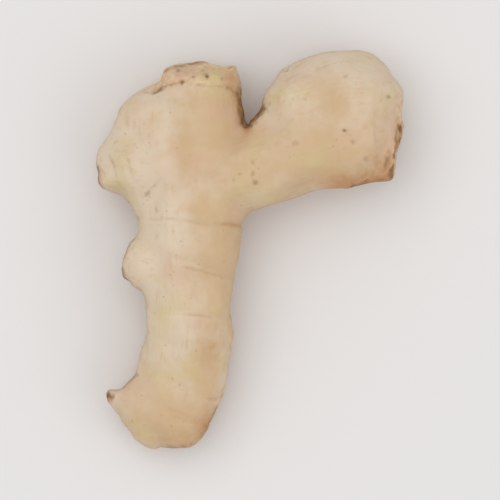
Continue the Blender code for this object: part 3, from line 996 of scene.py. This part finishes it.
# Brown stains are partly real, as bruises and the cork's brown, and partly painted shade: along the
# side lobe's lower edge, in the notch and at the lower edges of the foot.
BROWN_STAINS_AND_SHADE = (
    {"at": (-4.4, 37.6), "length": 4.0, "width": 2.0, "turn": 100.0, "strength": 0.6},
    {"at": (-2.1, 31.5), "length": 6.0, "width": 1.1, "turn": 101.0, "strength": 0.7},
    {"at": (-0.8, 27.6), "length": 2.0, "width": 1.2, "turn": 90.0, "strength": 0.8},
    {"at": (1.2, 30.4), "length": 2.6, "width": 0.8, "turn": 42.0, "strength": 0.6},
    {"at": (23.4, 14.0), "length": 8.0, "width": 3.3, "turn": -2.0, "strength": 0.9},
    {"at": (28.5, 14.6), "length": 8.0, "width": 3.8, "turn": 8.0, "strength": 0.9},
    {"at": (30.6, 18.0), "length": 5.0, "width": 4.4, "turn": 70.0, "strength": 0.62},
    {"at": (-9.0, -22.0), "length": 5.5, "width": 2.8, "turn": 86.0, "strength": 0.3},
    {"at": (-14.5, -44.0), "length": 7.0, "width": 4.0, "turn": 0.0, "strength": 0.42},
    {"at": (-9.4, -39.4), "length": 5.5, "width": 3.2, "turn": 60.0, "strength": 0.65},
    {"at": (33.4, 22.4), "length": 6.5, "width": 1.2, "turn": 100.0, "strength": 0.8},
    {"at": (-33.9, 15.6), "length": 2.8, "width": 1.2, "turn": 85.0, "strength": 0.55},
    {"at": (-32.4, -33.1), "length": 1.5, "width": 1.3, "turn": 0.0, "strength": 1.0},
    {"at": (-11.8, 42.0), "length": 1.6, "width": 0.6, "turn": 0.0, "strength": 0.5},
    {"at": (-3.9, 39.0), "length": 3.6, "width": 1.8, "turn": 95.0, "strength": 0.35},
)
SEEN_FROM_ABOVE = (-0.4, 0.1)
TOP_OF_FLANK = (-0.2, 0.6)
CLEAR_OF_FORK = 0.12


def stained(points, spots):
    """The strongest of the spots at each point."""
    return np.max([spot["strength"] * patch(points, spot) for spot in spots], axis=0)


def write_mask(name, values):
    """The values, held to 0 to 1, as an attribute of the mesh's points."""
    attribute = rhizome.data.attributes.new(name, "FLOAT", "POINT")
    attribute.data.foreach_set("value", np.clip(values, 0.0, 1.0).astype(np.float32))
    print("mask", name, "covers", np.mean(values).round(3))


seen = smoothstep(outward[:, 2], *SEEN_FROM_ABOVE)
write_mask("tan_and_shade", stained(points, TAN_AND_SHADE_PATCHES) * seen)
write_mask("stain_and_shade", stained(points, BROWN_STAINS_AND_SHADE) * seen)
write_mask("olive", stained(points, OLIVE_PATCHES) * seen)
write_mask("pink", stained(points, PINK_PATCHES) * seen)
write_mask("speck_and_edge_shade", speck_and_edge_shade)
write_mask("scar", scar_line)
write_mask("cork", cork)
# Painted shade: skin that turns down from above is darkened all round the flanks.
write_mask("flank_shade", 1.0 - smoothstep(outward[:, 2], *TOP_OF_FLANK))
write_mask("along_skin", smoothstep(margin, 0.0, CLEAR_OF_FORK))
grain = rhizome.data.attributes.new("grain", "FLOAT_VECTOR", "POINT")
grain_at = own[:3].T + 37.0 * nearest[:, None]
grain.data.foreach_set("vector", grain_at.astype(np.float32).ravel())

# %% [markdown]
# ## Shader maths in Python
#
# A material is a web of nodes. Wrapped in a small class, a node's output can be added
# and multiplied like a number, so the skin's recipe below reads as sums and mixes.


# %% A socket that does sums
class Wire:
    """One output socket of a material's nodes."""

    def __init__(self, socket):
        self.socket = socket

    @staticmethod
    def node(tree, kind, settings, inputs, output=0):
        """A new node of that kind. Its settings come first, then its inputs' values or
        wires, and the wire that comes back is its output of that name or number."""
        made = tree.nodes.new(kind)
        for name, value in settings.items():
            setattr(made, name, value)
        for name, value in inputs.items():
            if isinstance(value, Wire):
                tree.links.new(value.socket, made.inputs[name])
            else:
                made.inputs[name].default_value = value
        return Wire(made.outputs[output])

    def beside(self, kind, settings, inputs, output=0):
        """A new node in the same tree."""
        return Wire.node(self.socket.id_data, kind, settings, inputs, output)

    def maths(self, operation, first, second=0.0):
        return self.beside("ShaderNodeMath", {"operation": operation}, {0: first, 1: second})

    def __add__(self, other):
        return self.maths("ADD", self, other)

    def __sub__(self, other):
        return self.maths("SUBTRACT", self, other)

    def __rsub__(self, other):
        return self.maths("SUBTRACT", other, self)

    def __mul__(self, other):
        return self.maths("MULTIPLY", self, other)

    def __pow__(self, other):
        return self.maths("POWER", self, other)

    __radd__ = __add__
    __rmul__ = __mul__

    def between(self, low, high):
        """0 up to low and 1 from high on, by a Map Range node's smoothstep."""
        settings = {"interpolation_type": "SMOOTHSTEP"}
        inputs = {"Value": self, "From Min": low, "From Max": high}
        return self.beside("ShaderNodeMapRange", settings, inputs)

    def blend(self, under, over):
        """The colour under where this wire is 0 and the colour over where it is 1."""
        settings = {"data_type": "RGBA", "clamp_factor": True}
        return self.beside("ShaderNodeMix", settings, {0: self, 6: under, 7: over}, 2)


def colour(red, green, blue):
    """A screen colour, 0 to 255, as the linear values that Blender's sockets hold: the
    share of 255, plus 0.055, over 1.055, to the power 2.4."""
    shares = (np.array([red, green, blue]) / 255.0 + 0.055) / 1.055
    return (*(shares**2.4), 1.0)


# %% [markdown]
# ## The skin
#
# Ginger skin is thin, dry and a little waxy. Its pale cream drifts towards tan, pink
# and olive over a centimetre or so, fine fibres run along it, and pores fleck it. The
# brown of scars, stains and cork is laid over that by the masks, each with its edge
# broken up by noise. Painted shade goes on by the same masks: tan in the hollows, brown
# along the lobe's lower edge, in the notch and round the outline, and a darker, warmer
# tone on the flanks.

# %% Colours of the skin
CREAM = colour(219, 200, 175)
# This tan is the root's own tone and also the colour of the painted shade in the hollows.
TAN_AND_SHADE_TONE = colour(206, 175, 136)
# Painted shade for the flanks, which turn down away from the light above.
FLANK_SHADE = colour(198, 157, 111)
PINK = colour(214, 177, 150)
OLIVE = colour(206, 188, 136)
SCAR_BROWN = colour(176, 140, 100)
# This brown is bruise and cork brown, and also the colour of painted shade along the lobe's lower
# edge and in the notch.
STAIN_AND_SHADE_BROWN = colour(192, 136, 84)
# These browns colour the real specks, pits and scars, and also the painted shade of the edges.
SPECK_AND_SHADE_BROWN = colour(118, 84, 52)
SPECK_AND_SHADE_LIGHT = colour(152, 116, 78)
CORK_LIGHT = colour(226, 200, 164)
CORK_BROWN = colour(203, 169, 135)

# %% Sizes of its patterns, in millimetres
FIBRE_SIZE = 0.7
FIBRE_SQUEEZE = 0.14
MOTTLE_SIZE = 2.6
TAN_SIZE = 16.0
PINK_SIZE = 9.0
OLIVE_SIZE = 8.0
RAGGED_SIZE = 1.1
FLECK_SIZE = 1.4
PORE_PATCH = 3.4
PORES_IN_A_METRE = 620.0
BUMP_DEPTH = 0.12


# %% The skin's material
def patterned(place, size, detail, output="Fac"):
    """Blender's noise with bumps of that size, in the place's own unit."""
    inputs = {"Vector": place, "Scale": 1.0 / size, "Detail": detail}
    return place.beside("ShaderNodeTexNoise", {}, inputs, output)


def skin_material():
    """Layers of colour, each laid over the last by its own mask, from the cream of the
    skin up to the dark specks, with gloss and a faint bump worked out from them."""
    material = bpy.data.materials.new("fresh_ginger_skin")
    material.use_nodes = True
    tree = material.node_tree
    shader = tree.nodes["Principled BSDF"]
    place = Wire.node(tree, "ShaderNodeTexCoord", {}, {}, "Object")

    def mask(name):
        return place.beside("ShaderNodeAttribute", {"attribute_name": name}, {}, "Fac")

    fibre_place = place.beside(
        "ShaderNodeVectorMath",
        {"operation": "MULTIPLY"},
        {
            0: place.beside("ShaderNodeAttribute", {"attribute_name": "grain"}, {}, "Vector"),
            1: (1.0, 1.0, FIBRE_SQUEEZE),
        },
    )
    fibres = patterned(fibre_place, FIBRE_SIZE, 3.0) - 0.5
    fibres = fibres * mask("along_skin")
    mottle = patterned(place, MOTTLE_SIZE * MM, 4.0) - 0.5
    # Tan tone, partly painted shade in the hollows and down the trunk's right side.
    tan_and_shade = mask("tan_and_shade") + (patterned(place, TAN_SIZE * MM, 2.0) - 0.5) * 0.8 + mottle * 0.6
    skin = tan_and_shade.between(0.0, 1.0).blend(CREAM, TAN_AND_SHADE_TONE)
    pink = patterned(place, PINK_SIZE * MM, 1.0).between(0.5, 0.75) * 0.4 + mask("pink") * 0.8
    skin = pink.blend(skin, PINK)
    shifted = place.beside(
        "ShaderNodeVectorMath", {"operation": "ADD"}, {0: place, 1: (0.4, 0.2, 0.1)}
    )
    olive = patterned(shifted, OLIVE_SIZE * MM, 1.0).between(0.5, 0.75) * 0.4 + mask("olive") * 0.8
    skin = olive.blend(skin, OLIVE)
    skin = (mottle * 0.8 + fibres * 1.3).between(0.0, 0.6).blend(skin, TAN_AND_SHADE_TONE)
    # Painted shade: the flanks that turn down from above are darkened and warmed.
    skin = (mask("flank_shade") * 0.7 + mottle * 0.3).between(0.05, 0.8).blend(skin, FLANK_SHADE)
    pore_inputs = {"Vector": place, "Scale": PORES_IN_A_METRE}
    pores = place.beside("ShaderNodeTexVoronoi", {}, pore_inputs, "Distance")
    pore_patches = patterned(place, PORE_PATCH * MM, 1.0).between(0.54, 0.66)
    pore = (1.0 - pores.between(0.08, 0.22)) * pore_patches
    skin = (pore * 0.45).blend(skin, SCAR_BROWN)
    ragged = patterned(place, RAGGED_SIZE * MM, 4.0) - 0.5
    scar = (mask("scar") + ragged * 0.9).between(0.1, 1.3) * 0.45
    skin = scar.blend(skin, SCAR_BROWN)
    # Brown stains, partly painted shade along the side lobe's lower edge and in the notch.
    stain_and_shade = (mask("stain_and_shade") + ragged * 0.3 + mottle * 0.4).between(0.0, 1.05)
    skin = stain_and_shade.blend(skin, STAIN_AND_SHADE_BROWN)
    crumbs = patterned(place, FLECK_SIZE * MM, 5.0)
    cork_colour = crumbs.between(0.3, 0.7).blend(CORK_BROWN, CORK_LIGHT)
    cork_colour = (mask("olive") * 0.9).blend(cork_colour, OLIVE)
    cork_colour = (mask("pink") * 0.6).blend(cork_colour, PINK)
    cork_colour = (stain_and_shade * 0.7).blend(cork_colour, STAIN_AND_SHADE_BROWN)
    cork = (mask("cork") + ragged * 0.5).between(0.2, 0.8)
    skin = cork.blend(skin, cork_colour)
    # Dark specks, pits and scars, with painted shade along the edges of the outline.
    speck_and_edge_shade = (mask("speck_and_edge_shade") + ragged * 0.3).between(0.06, 0.85)
    speck_and_shade_colour = crumbs.between(0.35, 0.65).blend(SPECK_AND_SHADE_BROWN, SPECK_AND_SHADE_LIGHT)
    skin = speck_and_edge_shade.blend(skin, speck_and_shade_colour)
    tree.links.new(skin.socket, shader.inputs["Base Color"])

    roughness = 0.46 + mottle * 0.2 + cork * 0.36 + stain_and_shade * 0.12 + speck_and_edge_shade * 0.2
    tree.links.new(roughness.socket, shader.inputs["Roughness"])
    height = fibres * 0.5 + mottle * 0.25 - pore * 0.3 + cork * (crumbs - 0.5) * 1.4
    bump_inputs = {"Strength": 0.7, "Distance": BUMP_DEPTH * MM, "Height": height}
    bump = place.beside("ShaderNodeBump", {}, bump_inputs)
    tree.links.new(bump.socket, shader.inputs["Normal"])
    shader.inputs["Specular IOR Level"].default_value = 0.4
    shader.inputs["Subsurface Weight"].default_value = 0.12
    shader.inputs["Subsurface Radius"].default_value = (1.0, 0.55, 0.3)
    shader.inputs["Subsurface Scale"].default_value = 2.0 * MM
    return material


rhizome.data.materials.clear()
rhizome.data.materials.append(skin_material())
print("skin nodes:", len(rhizome.data.materials[0].node_tree.nodes))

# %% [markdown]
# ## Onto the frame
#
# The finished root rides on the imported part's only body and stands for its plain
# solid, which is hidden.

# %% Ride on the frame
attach(rhizome, "root")
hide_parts("ginger_root")

# %% [markdown]
# ## The table
#
# A plain pale sheet, big enough to reach past every view.

# %% Table
TABLE_REACH = 3.0
PALE_TABLE = colour(232, 230, 229)


def table_material():
    material = bpy.data.materials.new("pale_table")
    material.use_nodes = True
    shader = material.node_tree.nodes["Principled BSDF"]
    shader.inputs["Base Color"].default_value = PALE_TABLE
    shader.inputs["Roughness"].default_value = 0.9
    shader.inputs["Specular IOR Level"].default_value = 0.1
    return material


corners = TABLE_REACH * np.array([(-1, -1, 0), (1, -1, 0), (1, 1, 0), (-1, 1, 0)], float)
sheet = bpy.data.meshes.new("table")
sheet.from_pydata(corners, [], [(0, 1, 2, 3)])
table = bpy.data.objects.new("table", sheet)
table.data.materials.append(table_material())
bpy.context.scene.collection.objects.link(table)

# %% [markdown]
# ## Light and camera
#
# A big soft light hangs nearly overhead, a little to the left, as a skylight would, a
# weaker one fills from the right, and a pale world keeps the shadows open. The camera
# looks straight down through a long lens, so the outline is nearly free of perspective.

# %% Light
WORLD_STRENGTH = 0.64
middle = 0.5 * (low_corner + high_corner) * MM


def soft_light(name, place, size, power):
    """A square area light, turned to look at the root's middle. Its place and its side
    are in metres and its power is in watts."""
    light = bpy.data.lights.new(name, "AREA")
    light.shape = "SQUARE"
    light.size = size
    light.energy = power
    lamp = bpy.data.objects.new(name, light)
    lamp.location = place
    aim = lamp.location - type(lamp.location)(middle)
    lamp.rotation_euler = aim.to_track_quat("Z", "Y").to_euler()
    bpy.context.scene.collection.objects.link(lamp)


soft_light("window", (-0.28, 0.2, 1.1), 1.1, 4.9)
soft_light("fill", (0.7, -0.4, 0.7), 0.8, 1.5)
world = bpy.data.worlds.new("pale_room")
world.use_nodes = True
world.node_tree.nodes["Background"].inputs["Color"].default_value = (1.0, 1.0, 1.0, 1.0)
world.node_tree.nodes["Background"].inputs["Strength"].default_value = WORLD_STRENGTH
bpy.context.scene.world = world
bpy.context.scene.view_settings.view_transform = "Standard"

# %% Camera
CAMERA_HEIGHT = 1.0
FRAME_SHARE = 0.8
lens = bpy.data.cameras.new("from_above")
seen_width = (high_corner - low_corner)[1] * MM / FRAME_SHARE
lens.lens = lens.sensor_width * (CAMERA_HEIGHT - middle[2]) / seen_width
camera = bpy.data.objects.new("from_above", lens)
camera.location = (middle[0], middle[1], CAMERA_HEIGHT)
bpy.context.scene.collection.objects.link(camera)
bpy.context.scene.camera = camera
print("lens", round(lens.lens), "mm")
